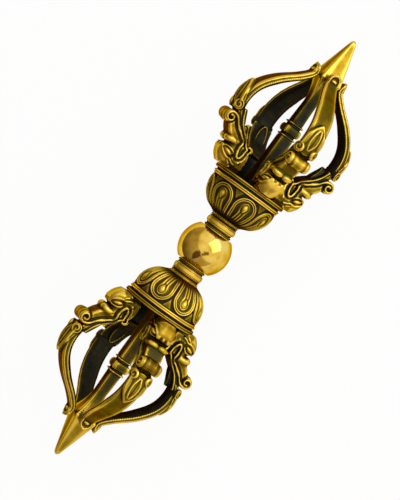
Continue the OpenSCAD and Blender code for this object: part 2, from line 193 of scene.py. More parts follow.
# Painted reflection of the camera: the ball turns brown inside two ragged spots.
spots = [add(tree, "VectorMath", {0: (place, "Object"), 1: [v * MM for v in at]}, operation="DISTANCE")
         for at in CAMERA_REFLECTION_SPOTS]
smaller = add(tree, "Math", {0: (spots[1], "Value"), 1: SECOND_SMALLER * MM}, operation="ADD")
nearest = add(tree, "Math", {0: (spots[0], "Value"), 1: (smaller, "Value")}, operation="MINIMUM")
blot = add(tree, "TexNoise", {"Vector": (place, "Object"), "Scale": 1 / (BLOT * MM), "Detail": 2.0})
ragged = add(tree, "MapRange", {"Value": (blot, "Fac"), "To Min": -REFLECTION_SPOT_RAGGED * MM,
                                "To Max": REFLECTION_SPOT_RAGGED * MM})
reach = add(tree, "Math", {0: (nearest, "Value"), 1: (ragged, "Result")}, operation="ADD")
painted_reflection = add(tree, "MapRange", {"Value": (reach, "Value"), "From Min": REFLECTION_SPOT_R * MM,
                                 "From Max": REFLECTION_SPOT_CORE * MM, "To Max": 0.9})
tone = add(tree, "MixRGB", {"Fac": (painted_reflection, "Result"), "Color1": (tone, "Color"),
                            "Color2": linear("#6A3812")})
dull = add(tree, "MapRange", {"Value": (haze, "Fac"), "To Min": 0.06, "To Max": 0.16})
ripple = add(tree, "Bump", {"Height": (waves, "Fac"), "Strength": 0.35, "Distance": 0.4 * MM})
shine = add(tree, "BsdfPrincipled", {"Base Color": (tone, "Color"), "Metallic": 1.0,
                                     "Roughness": (dull, "Result"), "Normal": (ripple, "Normal"),
                                     "Specular Tint": linear("#C49C50")})
add(tree, "OutputMaterial", {"Surface": (shine, "BSDF")})

ball_edge = math.degrees(math.asin(BALL_H / BALL_D))
profile = [[BORE_R, -BALL_H / 2]]
profile.extend(arc((0, 0), BALL_D / 2, -ball_edge, ball_edge, 160))
profile.append([BORE_R, BALL_H / 2])
points, faces = revolve(profile, 320)
normals, faces = normals_of(points, faces)
make_piece("polished_ball", lay_down(points, "upper", 0), faces,
           "hub_ball", polished_brass)


# Neck rings: three turned rings on each side of the ball, two beaded ones with a plain band between.
# The grooves beside the beads keep the dark of the antiquing bath, and the band is polished back.
ENDS = ("upper", "lower")
NECK_R = 4.85
RING_STEPS = 192
BALL_RING, BALL_RING_BEADS = (6.0, 7.6), (0.36,)
CUP_RING, CUP_RING_BEADS = (9.2, 10.4), (0.28, 0.72)
BEAD_RISE, BEAD_HALF = 0.4, 0.24
RING_WAIST = 0.15
BAND_RING = (7.6, 9.2)
BAND_SET_IN, BAND_SWELL = 0.1, 0.2
BAND_LINE_AT, BAND_LINE_HALF, BAND_LINE_DEPTH = 0.72, 0.16, 0.14
BLOTCH, GRAIN, CLOUD = 2.6, 0.45, 7.0
PIT_DEPTH = 0.05

# Antiqued brass: the whole casting is darkened in a bath and then rubbed back, so it is gold on the
# high places, olive between and nearly black in the hollows. The patina of each point says which.
# The bath took unevenly, so parts of it have turned brown, and the edge tint browns every rim.
# On the seats, the centre prongs and the outer prongs, the patina attribute also holds painted shade inside
# the cage.
antiqued_brass, tree = new_material("antiqued_brass")
place = add(tree, "TexCoord")
patina = add(tree, "Attribute", attribute_name="patina")
blotches = add(tree, "TexNoise", {"Vector": (place, "Object"), "Scale": 1 / (BLOTCH * MM), "Detail": 4.0})
grain = add(tree, "TexNoise", {"Vector": (place, "Object"), "Scale": 1 / (GRAIN * MM), "Detail": 3.0})
uneven = add(tree, "MapRange", {"Value": (blotches, "Fac"), "To Min": -0.2, "To Max": 0.2})
speckle = add(tree, "MapRange", {"Value": (grain, "Fac"), "To Min": -0.1, "To Max": 0.1})
marks = add(tree, "Math", {0: (uneven, "Result"), 1: (speckle, "Result")}, operation="ADD")
hold = add(tree, "MapRange", {"Value": (patina, "Fac"), "To Min": 0.3, "To Max": 1.5})
held = add(tree, "Math", {0: (marks, "Value"), 1: (hold, "Result")}, operation="MULTIPLY")
patina_and_shade_level = add(tree, "Math", {0: (patina, "Fac"), 1: (held, "Value")}, operation="ADD")
olive = add(tree, "ValToRGB", {"Fac": (patina_and_shade_level, "Value")},
            [(0.0, "#E4BE48"), (0.25, "#967A1A"), (0.45, "#685814"), (0.65, "#48421C"), (1.0, "#2A2A23")])
brown = add(tree, "ValToRGB", {"Fac": (patina_and_shade_level, "Value")},
            [(0.0, "#E6B84C"), (0.25, "#A07016"), (0.45, "#6C4A10"), (0.65, "#4A3818"), (1.0, "#2A261E")])
clouds = add(tree, "TexNoise", {"Vector": (place, "Object"), "Scale": 1 / (CLOUD * MM), "Detail": 2.0})
warmth = add(tree, "MapRange", {"Value": (clouds, "Fac"), "From Min": 0.45, "From Max": 0.68,
                                "To Max": 0.6})
tone = add(tree, "MixRGB", {"Fac": (warmth, "Result"), "Color1": (olive, "Color"),
                            "Color2": (brown, "Color")})
dull = add(tree, "MapRange", {"Value": (patina_and_shade_level, "Value"), "To Min": 0.26, "To Max": 0.5})
pits = add(tree, "Bump", {"Height": (grain, "Fac"), "Strength": 0.25, "Distance": PIT_DEPTH * MM})
shine = add(tree, "BsdfPrincipled", {"Base Color": (tone, "Color"), "Metallic": 1.0,
                                     "Roughness": (dull, "Result"), "Normal": (pits, "Normal"),
                                     "Specular Tint": linear("#AA8644")})
add(tree, "OutputMaterial", {"Surface": (shine, "BSDF")})


def bell(distance, half):
    """A rounded ridge of height 1 that ends at half its width."""
    return np.where(np.abs(distance) < half, 0.5 + 0.5 * np.cos(np.pi * distance / half), 0)


def rope(distance, half):
    """A ridge of height 1 with a round back."""
    return np.sqrt(np.clip(1 - (distance / half) ** 2, 0, 1))


def ease(low, high, x):
    """A soft step from 0 at low to 1 at high."""
    t = np.clip((x - low) / (high - low), 0, 1)
    return t * t * (3 - 2 * t)


def turned_ring(end, ring, profile, base, depth):
    """A ring of the neck. Its patina is base, and it is darkest in grooves as deep as depth."""
    points, faces = revolve(profile, RING_STEPS)
    normals, faces = normals_of(points, faces)
    patina = np.repeat(np.broadcast_to(base, len(profile)), RING_STEPS)
    patina = patina + hollows(points, faces, normals, 60) / depth
    make_piece(f"{end}_{ring}_turned", lay_down(points, end, 0), faces,
               f"{end}_{ring}", antiqued_brass, np.clip(patina, 0, 1))


for end in ENDS:
    for ring, (low, high), beads in (("ball_ring", BALL_RING, BALL_RING_BEADS),
                                     ("cup_ring", CUP_RING, CUP_RING_BEADS)):
        z = np.linspace(low, high, 65)
        lines = sum(rope(z - low - at * (high - low), BEAD_HALF) for at in beads)
        root = NECK_R - BEAD_RISE - RING_WAIST * bell(z - (low + high) / 2, (high - low) / 2)
        profile = [[BORE_R, low]]
        profile.extend(np.stack([root + BEAD_RISE * lines, z], 1))
        profile.append([BORE_R, high])
        turned_ring(end, ring, profile, base=0.78, depth=0.2)
    low, high = BAND_RING
    z = np.linspace(-1, 1, 49)
    swell = BAND_SWELL * (1 - z ** 4) - BAND_LINE_DEPTH * bell(np.abs(z) - BAND_LINE_AT, BAND_LINE_HALF)
    profile = [[BORE_R, low]]
    profile.extend(np.stack([NECK_R - BAND_SET_IN + swell, (low + high) / 2 + z * (high - low) / 2], 1))
    profile.append([BORE_R, high])
    band_patina = np.concatenate([[0.5], 0.12 + 0.6 * ease(0.5, 0.85, np.abs(z)), [0.5]])
    turned_ring(end, "band_ring", profile, base=band_patina, depth=0.25)


# Lotus cups: cast bowls with a ring of eight petals, each with a raised rim, a sunk field and a
# tongue with a drop-shaped boss. Tips of a second row of petals show between their tops.
# Each is clamped between the neck rings and a prong seat.
CUP_FOOT, CUP_NECK, BOWL_TOP, CUP_TOP = 10.4, 10.7, 20.1, 21.0
CUP_R = 10.9
CUP_FULLNESS = 2.8
CUP_WALL, CUP_FLOOR = 1.8, 2.6
LIP_R, LIP_OUT = 0.32, 0.2
CUP_TURNS = {"upper": 36.5, "lower": 49.0}
CUP_PATINA = {"upper": 0.46, "lower": 0.35}
FOOT_DARK = {"upper": 0.55, "lower": 0.3}
BETWEEN_DARK = 0.28
CARVED_DEPTH = 0.38
PETALS = 8
PETAL_COLUMNS, BOWL_ROWS = 64, 148
PETAL_SHARE, PETAL_ARCH, PETAL_TOP_GAP = 0.92, 3.9, 0.15
PETAL_RIM, RIM_RISE, SECOND_RISE = 0.58, 0.5, 0.38
GAP_DEPTH = 0.2
BOSS_FROM_TOP = 3.5
TONGUE_W, TONGUE_ROUND, TONGUE_RISE = 1.75, 1.8, 0.32
FLUTE, FLUTE_RISE = 0.9, 0.14
DROP_RISE, DROP_GROOVE = 0.34, 0.16
BACK_TIP_RISE = 0.35


def bowl_radius(z):
    """Outside radius of the plain bowl at a height."""
    return NECK_R + (CUP_R - NECK_R) * (1 - ((BOWL_TOP - z) / (BOWL_TOP - CUP_NECK)) ** CUP_FULLNESS)


def path_field(path, x, y):
    """Distance, side and length along a path, for every point of a flat grid."""
    distance = np.full(x.shape, np.inf)
    offset, length = np.zeros(x.shape), np.zeros(x.shape)
    run = 0.0
    for p, q in zip(path[:-1], path[1:]):
        step = q - p
        size = math.hypot(*step)
        t = np.clip(((x - p[0]) * step[0] + (y - p[1]) * step[1]) / size ** 2, 0, 1)
        gap = np.hypot(x - p[0] - t * step[0], y - p[1] - t * step[1])
        closer = gap < distance
        side = np.sign((x - p[0]) * step[1] - (y - p[1]) * step[0])
        distance = np.where(closer, gap, distance)
        offset = np.where(closer, gap * side, offset)
        length = np.where(closer, run + t * size, length)
        run += size
    return distance, offset, length


def petal_relief(u, t, pitch, length):
    """Carved height at u across from a petal's middle and t up the bowl, and what lies between petals."""
    arch_t = length - PETAL_ARCH
    flank_t = np.linspace(0, 1, 60) * arch_t
    flank = np.stack([PETAL_SHARE * np.interp(flank_t, pitch[:, 0], pitch[:, 1]), flank_t], 1)
    turn = np.linspace(0, np.pi / 2, 40)[1:]
    arch_h = length - PETAL_TOP_GAP - arch_t
    arch = np.stack([flank[-1, 0] * np.cos(turn), arch_t + arch_h * np.sin(turn)], 1)
    rim_in, side, _ = path_field(np.concatenate([flank, arch]), u, t)
    inside = np.where(side < 0, rim_in, -rim_in)
    rim = RIM_RISE * rope(inside - PETAL_RIM / 2, PETAL_RIM / 2)
    second = SECOND_RISE * rope(inside - 1.5 * PETAL_RIM, PETAL_RIM / 2.2)
    field = np.where(inside > PETAL_RIM / 2, 0.02, -GAP_DEPTH)

    boss_t = length - BOSS_FROM_TOP
    tongue_half = TONGUE_W * np.where(t < boss_t, 0.6 + 0.4 * t / boss_t, rope(t - boss_t, TONGUE_ROUND))
    in_tongue = tongue_half - np.abs(u)
    tongue = TONGUE_RISE * ease(-0.05, 0.6, in_tongue)
    flutes = FLUTE_RISE * np.cos(2 * np.pi * u / FLUTE)
    flutes = flutes * ease(boss_t - 0.9, boss_t - 2.0, t) * ease(0, 0.3, in_tongue)
    tail = np.where(t > boss_t, (t - boss_t) * 0.85, (boss_t - t) * 0.62)
    drop_r = np.hypot(u * (1 + 0.28 * np.clip(boss_t - t, 0, 3)), tail)
    drop = DROP_RISE * ease(1.0, 0.2, drop_r) - DROP_GROOVE * bell(drop_r - 1.1, 0.28)
    centre = np.where(inside > 1.9 * PETAL_RIM, tongue + flutes + drop * ease(0.0, 0.3, in_tongue), 0)

    gap_w = np.interp(t, pitch[:, 0], pitch[:, 1]) - np.abs(u)
    tip_half = np.clip((t - arch_t - 1.0) * 0.55, 0, 9)
    back_tip = BACK_TIP_RISE * ease(0, 0.35, tip_half - gap_w) * ease(0.0, 0.35, -inside - 0.12)
    height = np.maximum(np.maximum(rim, second), field + centre) + np.where(inside < 0, back_tip, 0)
    return height, inside < 0.05


z_rows = np.linspace(CUP_NECK, BOWL_TOP, 400)
r_rows = bowl_radius(z_rows)
bowl_run = np.concatenate([[0], np.cumsum(np.hypot(np.diff(r_rows), np.diff(z_rows)))])
bowl_length = bowl_run[-1]
row_t = np.linspace(0, bowl_length, BOWL_ROWS)
row_z = np.interp(row_t, bowl_run, z_rows)
row_r = bowl_radius(row_z)
half_pitch = np.stack([bowl_run, r_rows * np.pi / PETALS], 1)

share = (np.arange(PETAL_COLUMNS) / PETAL_COLUMNS + 0.5) % 1 * 2 - 1
u = share[None] * row_r[:, None] * np.pi / PETALS
carving, between = petal_relief(np.abs(u), row_t[:, None] + 0 * u, half_pitch, bowl_length)
carving *= ease(0.3, 4.2, row_t)[:, None]
carving = np.tile(carving, (1, PETALS))
unrubbed = BETWEEN_DARK * np.tile(between, (1, PETALS))
by_the_foot = ease(5.0, 0.5, row_t)[:, None]

below = [[BORE_R, CUP_FOOT], [NECK_R - 0.3, CUP_FOOT], [NECK_R, CUP_FOOT + 0.12],
         [NECK_R, CUP_NECK - 0.05]]
above = [[CUP_R + 0.1, BOWL_TOP + 0.02]]
above.extend(arc((CUP_R + LIP_OUT, CUP_TOP - LIP_R), LIP_R, -88, 88, 13))
floor_z = CUP_FOOT + CUP_FLOOR
inside_wall = [[CUP_R - CUP_WALL, CUP_TOP]]
inside_wall.extend([bowl_radius(z) - CUP_WALL, z] for z in np.linspace(BOWL_TOP, floor_z, 12))
inside_wall.append([BORE_R, floor_z])
profile = np.concatenate([below, np.stack([row_r, row_z], 1), above, inside_wall])
around = PETAL_COLUMNS * PETALS
points, faces = revolve(profile, around)

# The carving stands square to the bowl.
start = len(below) * around
bowl = slice(start, start + carving.size)
spin = np.tile(np.linspace(0, 2 * np.pi, around, endpoint=False), len(row_t))
out = (carving * np.gradient(row_z, row_t)[:, None]).ravel()
points[bowl, 0] += out * np.cos(spin)
points[bowl, 1] += out * np.sin(spin)
points[bowl, 2] -= (carving * np.gradient(row_r, row_t)[:, None]).ravel()
normals, faces = normals_of(points, faces)
carved_dark = hollows(points, faces, normals, 70) / CARVED_DEPTH
for end in ENDS:
    patina = CUP_PATINA[end] + carved_dark
    patina[bowl] += (unrubbed + FOOT_DARK[end] * by_the_foot).ravel()
    make_piece(f"{end}_lotus_cup_cast", lay_down(points, end, CUP_TURNS[end]), faces, f"{end}_lotus_cup",
               antiqued_brass, np.clip(patina, 0, 1))


# Prong seats: moulded discs that close the cups, each with a thin ridge, a groove and a lined rim.
# The outer prongs are let into the top, which is nearly black: partly patina that nothing rubs, partly
# painted shade under the prongs.
SEAT_TOP = 23.4
SEAT_R = 12.3
SPIGOT_H, SPIGOT_GAP = 1.2, 0.1
RIDGE_R, RIDGE_SET_IN = 0.3, 0.6
GROOVE_R, GROOVE_SET_IN, GROOVE_H = 0.3, 0.8, 0.9
RIM_H = 1.2
RIM_LINE_Z, RIM_LINE_HALF, RIM_LINE_DEPTH = SEAT_TOP - 0.56 * RIM_H, 0.42, 0.16
TOP_SUNK = 0.25
SEAT_PATINA, SEAT_GROOVE, RIM_LINE_DARK, TOP_PATINA_AND_SHADE = 0.7, 0.26, 0.4, 0.95

spigot_r = CUP_R - CUP_WALL - SPIGOT_GAP
profile = [[BORE_R, CUP_TOP - SPIGOT_H], [spigot_r, CUP_TOP - SPIGOT_H], [spigot_r, CUP_TOP]]
profile.extend(arc((SEAT_R - RIDGE_SET_IN - RIDGE_R, CUP_TOP + RIDGE_R), RIDGE_R, -89, 89, 13))
profile.extend(arc((SEAT_R - GROOVE_SET_IN, CUP_TOP + GROOVE_H), GROOVE_R, 262, 98, 9))
rim = arc((SEAT_R - RIM_H / 2, SEAT_TOP - RIM_H / 2), RIM_H / 2, -89, 90, 41)
rim[:, 0] -= RIM_LINE_DEPTH * bell(rim[:, 1] - RIM_LINE_Z, RIM_LINE_HALF)
profile.extend(rim)
profile.extend([r, SEAT_TOP - TOP_SUNK * ease(SEAT_R - 1.0, SEAT_R - 1.6, r)]
               for r in np.linspace(SEAT_R - 0.8, BORE_R, 24))
points, faces = revolve(profile, RING_STEPS)
normals, faces = normals_of(points, faces)
from_axis = np.hypot(points[:, 0], points[:, 1])
patina = SEAT_PATINA + hollows(points, faces, normals, 60) / SEAT_GROOVE
patina += RIM_LINE_DARK * (from_axis > SEAT_R - 0.5) * bell(points[:, 2] - RIM_LINE_Z, 0.5)
# Painted shade, with some patina: the top inside the ring of prongs is made nearly black.
on_top = (points[:, 2] > SEAT_TOP - 0.4) & (from_axis < SEAT_R - 0.9)
patina = np.clip(np.where(on_top, TOP_PATINA_AND_SHADE, patina), 0, 1)
for end in ENDS:
    make_piece(f"{end}_prong_seat_turned", lay_down(points, end, 45), faces,
               f"{end}_prong_seat", antiqued_brass, patina)


# Centre prongs: square bars, filed to a waist above a moulded knop and to a four-sided point.
# They screw on to the tie stud. The point is rubbed bright, and the bar inside the cage is darker, partly
# patina and partly painted shade.
# Widths are from the middle to a corner.
POINT_Z, TIP_Z = 62.1, 76.2
POINT_W = 10.6 / 2
BLUNT_W, BLUNT_FROM, BLUNT_RUN = 0.95, 0.96, 0.042
SHAFT_W, WAIST_W, KNOP_W, FILLET_W, GROOVE_W = 3.0, 2.45, 3.85, 3.4, 2.7
KNOP_Z, KNOP_H, FILLET_H = 43.5, 2.6, 0.6
PLAIN_H = 8.0
FLARE_H = 9.0
CORNER_R = 0.45
FILED_PATINA, EDGE_BRIGHT = 0.26, 0.25
CAGE_PATINA_AND_SHADE = {"upper": 0.72, "lower": 0.45}


def fillet(z):
    """Levels of the small bead beside the knop, as heights and widths."""
    return [[z + FILLET_H * 0.55 * math.sin(a), GROOVE_W + (FILLET_W - GROOVE_W) * math.cos(a)]
            for a in np.linspace(-math.pi / 2, math.pi / 2, 9)]


knop_low, knop_high = KNOP_Z - KNOP_H / 2, KNOP_Z + KNOP_H / 2
low_fillet, high_fillet = knop_low - 1.5 * FILLET_H, knop_high + 1.5 * FILLET_H
levels = [[SEAT_TOP, SHAFT_W], [SEAT_TOP + PLAIN_H, SHAFT_W], [low_fillet - FILLET_H, SHAFT_W]]
levels.extend(fillet(low_fillet))
for a in np.linspace(0, math.pi, 17):
    levels.append([knop_low + KNOP_H * (1 - math.cos(a)) / 2,
                   GROOVE_W + (KNOP_W - GROOVE_W) * math.sin(a) ** 0.7])
levels.extend(fillet(high_fillet))
for t in np.linspace(0, 1, 24):
    levels.append([POINT_Z - FLARE_H * (1 - t), WAIST_W + (POINT_W - WAIST_W) * t ** 2])
for t in np.linspace(0.02, 1, 30):
    taper = POINT_W + (BLUNT_W - POINT_W) * t
    blunt = BLUNT_W * math.sqrt(max(1 - ((t - BLUNT_FROM) / BLUNT_RUN) ** 2, 0.05)) + 0.1
    levels.append([POINT_Z + (TIP_Z - POINT_Z) * t, taper if t < BLUNT_FROM else blunt])
levels = np.array(levels)
fine_z = np.unique(np.concatenate([levels[:, 0], np.linspace(SEAT_TOP, TIP_Z, 160)]))
fine_w = np.interp(fine_z, levels[:, 0], levels[:, 1])

# One level is a square with rounded corners, standing with a corner on each diagonal.
spin = np.linspace(0, 2 * np.pi, 96, endpoint=False)
c, s = np.cos(spin), np.sin(spin)
loops = []
for z, w in zip(fine_z, fine_w):
    half_side = w / math.sqrt(2)
    corner = min(CORNER_R, half_side * 0.6)
    core = half_side - corner
    reach = np.full_like(spin, w)
    for _ in range(12):
        across, along = np.abs(reach * c), np.abs(reach * s)
        gap = np.hypot(np.maximum(across - core, 0), np.maximum(along - core, 0))
        reach = reach - (np.where(gap > 0, gap, np.maximum(across, along) - core) - corner)
    loops.append(np.stack([reach * c, reach * s, np.full_like(spin, z)], 1))
points = np.concatenate(loops + [[[0, 0, SEAT_TOP]], [[0, 0, TIP_Z]]])
n = len(spin)
k = np.arange(n)
rows = np.arange(len(loops) - 1)[:, None] * n
faces = np.stack([rows + k, rows + (k + 1) % n, rows + n + (k + 1) % n, rows + n + k], 2).reshape(-1, 4)
foot, tip, last = len(points) - 2, len(points) - 1, (len(loops) - 1) * n
pairs = k[::2]
foot_cap = np.stack([np.full_like(pairs, foot), (pairs + 2) % n, pairs + 1, pairs], 1)
tip_cap = np.stack([np.full_like(pairs, tip), last + pairs, last + pairs + 1, last + (pairs + 2) % n], 1)
faces = np.concatenate([faces, foot_cap, tip_cap])
normals, faces = normals_of(points, faces)

# Hands rub the edges bright where they reach, which is not down by the seat.
# Painted shade, with some patina: the bar darkens from below the point down into the cage, less on the
# lower end.
cage_patina_and_shade_mask = ease(POINT_Z - 1.5, POINT_Z - 10, points[:, 2])
in_reach = ease(SEAT_TOP + 1, SEAT_TOP + 15, points[:, 2])
edges = np.clip(-hollows(points, faces, normals, 25) / 0.25, 0, 1)
filing = hollows(points, faces, normals, 40) / 0.5 - EDGE_BRIGHT * edges
filed_patina = FILED_PATINA + filing * in_reach
for end in ENDS:
    make_piece(f"{end}_centre_prong_filed", lay_down(points, end, 45), faces,
               f"{end}_centre_prong", antiqued_brass,
               np.clip(filed_patina + CAGE_PATINA_AND_SHADE[end] * cage_patina_and_shade_mask, 0, 1))


# Outer prongs: each is one lost-wax casting. A makara head sits on the seat, its snout rolled up, and
# a blade comes out of its mouth, bows out and leans on the point with a thin arched tip.
# The carving is modelled as depths and ridges on an even grid, and then skinned.
PRONG_TURNS = {"back_bottom": 47, "back_top": 137, "front_top": 223, "front_bottom": 313}
FOOT_R = 9.9
GRID = 0.16
BLADE_W = 2.95

# The grid's axes run outwards and upwards from the middle of the head's foot, and sideways.
a_axis = np.arange(-6.8, 12.8, GRID)
b_axis = np.arange(-0.4, 42.4, GRID)
y_axis = np.arange(-30, 31) * GRID
A, B = np.meshgrid(a_axis, b_axis, indexing="ij")
Y = y_axis[None, :, None]


def curve(points, steps):
    """A smooth curve through points, with so many steps from each to the next."""
    p = np.array(points, float)
    p = np.concatenate([p[:1], p, p[-1:]])
    t = np.linspace(0, 1, steps, endpoint=False)[:, None]
    runs = []
    for i in range(len(p) - 3):
        a, b, c, d = p[i:i + 4]
        bend = (2 * a - 5 * b + 4 * c - d) * t ** 2
        twist = (3 * b - a - 3 * c + d) * t ** 3
        runs.append(b + ((c - a) * t + bend + twist) / 2)
    return np.concatenate(runs + [p[-2:-1]])


def deep(field):
    """A flat field, ready to meet the sideways axis."""
    return field[:, None, :]


def slab(flat, half, edge):
    """A flat outline given a half width sideways, with rounded edges."""
    p, q = flat + edge, np.abs(Y) - half + edge
    return np.minimum(np.maximum(p, q), 0) + np.hypot(np.maximum(p, 0), np.maximum(q, 0)) - edge


def fuse(one, other, soft):
    """Two solids run together with a soft fillet."""
    h = np.clip(0.5 + 0.5 * (other - one) / soft, 0, 1)
    return other + (one - other) * h - soft * h * (1 - h)


def outline_field(points):
    """Distance to a closed outline, less than 0 inside it."""
    loop = np.concatenate([points, points[:1]])
    distance, _, _ = path_field(loop, A, B)
    inside = np.zeros(A.shape, bool)
    for p, q in zip(loop[:-1], loop[1:]):
        crosses = (p[1] > B) != (q[1] > B)
        inside ^= crosses & (A < p[0] + (B - p[1]) * (q[0] - p[0]) / (q[1] - p[1] + 1e-12))
    return np.where(inside, -distance, distance)


# The blade's middle line, and how thick and wide the blade is along it.
TIP_W = 2.0
BLADE_END = 0.25
BLADE_EDGE = 0.4
BLADE = [(1.3, 7.0), (4.8, 11.4), (8.0, 16.1), (8.7, 20.8), (7.2, 25.55), (3.3, 30.3), (-2.1, 34.8),
         (-4.7, 37.6), (-4.9, 39.3), (-4.5, 40.5), (-3.9, 41.2)]
blade_line = curve(BLADE, 10)
blade_gap, blade_side, blade_run = path_field(blade_line, A, B)
share = blade_run / blade_run.max()
outer_t = np.interp(share, [0, 0.13, 0.27, 0.38, 0.62, 0.75, 0.85, 0.94, 1],
                    [1.35, 1.25, 1.28, 1.42, 1.25, 1.12, 1.15, 1.05, 0.3])
inner_t = np.interp(share, [0, 0.13, 0.27, 0.38, 0.62, 0.75, 0.85, 0.94, 1],
                    [1.35, 1.25, 1.28, 1.45, 1.4, 1.15, 1.1, 0.9, 0.35])
half = np.interp(share, [0, 0.6, 0.8, 0.92, 1], [BLADE_W, BLADE_W, 2.45, TIP_W, TIP_W])

# The tip runs out in a thin round arch that turns outwards. A raised line follows the arch round a boss.
TIP_ARCH = 1.9
TIP_LINE_IN, TIP_LINE_HALF, TIP_LINE_RISE = 0.38, 0.4, 0.3
BOSS_FROM_END, BOSS_R, BOSS_RISE = 2.3, 0.85, 0.42
BOSS_GROOVE_R, BOSS_GROOVE_HALF, BOSS_GROOVE_DEPTH = 1.12, 0.32, 0.2
to_end = np.clip(blade_run.max() - blade_run, 0, None)
half = half * np.sqrt(np.clip(1 - np.clip(1 - to_end / TIP_ARCH, 0, 1) ** 2, 0.02, 1))
from_boss = np.hypot(Y, deep(to_end - BOSS_FROM_END))
tip_line = TIP_LINE_RISE * bell(deep(half) - np.abs(Y) - TIP_LINE_IN, TIP_LINE_HALF)
tip_line = tip_line * deep(ease(4.6, 3.2, to_end))
tip_boss = BOSS_RISE * rope(from_boss, BOSS_R)
tip_boss = tip_boss - BOSS_GROOVE_DEPTH * bell(from_boss - BOSS_GROOVE_R, BOSS_GROOVE_HALF)
tip_carving = np.where(deep(share < 1), tip_line + tip_boss, 0)

# Flame leaf on the outside of the blade. It wraps round on to both sides and its tip stands off.
LEAF_START, LEAF_LENGTH, LEAF_REACH = 11.4, 9.4, 4.3
ALMOND_HALF, ALMOND_RIM, ALMOND_VEIN, LEAF_VEIN = 1.15, 0.24, 0.3, 0.22
LOBE_RISE, LOBE_GROOVE = 0.45, 0.2
leaf_t = np.clip((blade_run - LEAF_START) / LEAF_LENGTH, 0, 1)
leaf_reach = np.where(leaf_t < 1, LEAF_REACH * (1 - leaf_t ** 2.6) ** 0.9, -1)
leaf_reach = leaf_reach * ease(LEAF_START - 0.2, LEAF_START + 1.2, blade_run)
leaf_reach = np.where(blade_run > LEAF_START, leaf_reach, -1)
leaf_in = deep(leaf_reach) - np.abs(Y)
almond = np.sin(np.pi * np.clip((leaf_t - 0.16) / 0.66, 0, 1)) ** 0.8
almond_gap = deep(ALMOND_HALF * almond) - np.abs(Y)
almond_face = ALMOND_RIM * bell(almond_gap, 0.36) - ALMOND_VEIN * bell(Y, 0.3) * ease(0.2, 0.7, almond_gap)
leaf_face = almond_face * deep(ease(0.05, 0.3, almond))
leaf_vein = LEAF_VEIN * bell(np.abs(Y) - deep(2.25 - 1.2 * leaf_t), 0.34) * deep(ease(0.9, 0.6, leaf_t))
leaf_rise = deep(0.5 + leaf_t) * (1 - 0.4 * (Y / 3.2) ** 2)
leaf = (leaf_rise + leaf_face - leaf_vein) * ease(-0.05, 0.5, leaf_in)
lobe_in = leaf_reach - half - (outer_t - blade_side)
leaf_lobe = LOBE_RISE * ease(-0.05, 0.45, lobe_in) - LOBE_GROOVE * bell(lobe_in - 0.75, 0.3)

# Tongue leaf on the inside of the blade's root: hollow, with a thin rim, and curled away at its tip.
TONGUE_LEAF_START, TONGUE_LEAF_LENGTH, TONGUE_LEAF_W = 3.0, 9.0, 2.4
tongue_t = (blade_run - TONGUE_LEAF_START) / TONGUE_LEAF_LENGTH
tongue_half = TONGUE_LEAF_W * np.sqrt(np.clip(1 - tongue_t ** 1.6 * np.sign(tongue_t), 0, 1))
tongue_in = deep(np.where((tongue_t > 0) & (tongue_t < 1), tongue_half, -1)) - np.abs(Y)
tongue_rise = deep(0.5 + 1.5 * np.clip(tongue_t, 0, 1) ** 1.6) - 0.5 * ease(0.3, 1.2, tongue_in)
tongue = tongue_rise * ease(-0.05, 0.3, tongue_in)

# Along each side of the blade run a ridge, a furrow and a row of fine beads, and the inside is bevelled.
MILLED_BEAD = 0.7
BEAD_ROW_RISE, RIDGE_RISE, FURROW_DEPTH = 0.26, 0.26, 0.2
milling = 0.68 + 0.32 * np.cos(2 * np.pi * blade_run / MILLED_BEAD)
bead_row = BEAD_ROW_RISE * bell(blade_side + 0.2, 0.4) * milling
ridge = RIDGE_RISE * bell(blade_side - outer_t + 0.5, 0.34)
furrow = FURROW_DEPTH * bell(blade_side - 0.36, 0.42)
bevel = np.clip((-0.5 - blade_side) / np.maximum(inner_t - 0.5, 0.1), 0, 1)
side_half = half * (1 - 0.38 * bevel) * (1 - 0.05 * ease(0.2, 1, blade_side / outer_t))
side_half = side_half + np.maximum(bead_row + ridge - furrow, leaf_lobe)
outer = deep(blade_side - outer_t) - leaf - tip_carving
inner = deep(-blade_side - inner_t) - tongue
beyond = deep(np.where((share >= 1) | (share <= 0), blade_gap - BLADE_END, -9))
solid = slab(np.maximum(np.maximum(outer, inner), beyond), deep(side_half), BLADE_EDGE)

# Skull and jaws of the makara: a smooth dome below, and a deep fold between it and the nose.
HEAD_W = 3.6
HEAD = [(-2.6, -0.2), (-2.8, 1.6), (-2.8, 4.6), (-2.5, 6.6), (-1.6, 7.4), (-0.2, 7.6), (1.0, 8.4),
        (2.2, 9.8), (4.0, 11.0), (5.8, 12.2), (7.4, 13.7), (8.6, 14.2), (9.4, 12.6), (8.8, 11.1),
        (7.8, 9.6), (7.0, 8.6), (6.2, 7.4), (5.2, 6.3), (6.5, 5.3), (6.7, 3.4), (5.9, 1.5), (4.4, -0.2)]
head_edge = outline_field(curve(HEAD, 6))
head_half = HEAD_W * np.interp(B, [0, 1.5, 3.5, 5, 6.2, 7.5, 9, 11, 13],
                               [0.84, 0.97, 1.01, 0.98, 0.9, 0.92, 0.86, 0.81, 0.81])
head_round = 0.5 + 2.1 * ease(0.5, 4.5, A) * ease(9.5, 7, B)
head = slab(deep(head_edge), deep(head_half), deep(head_round))

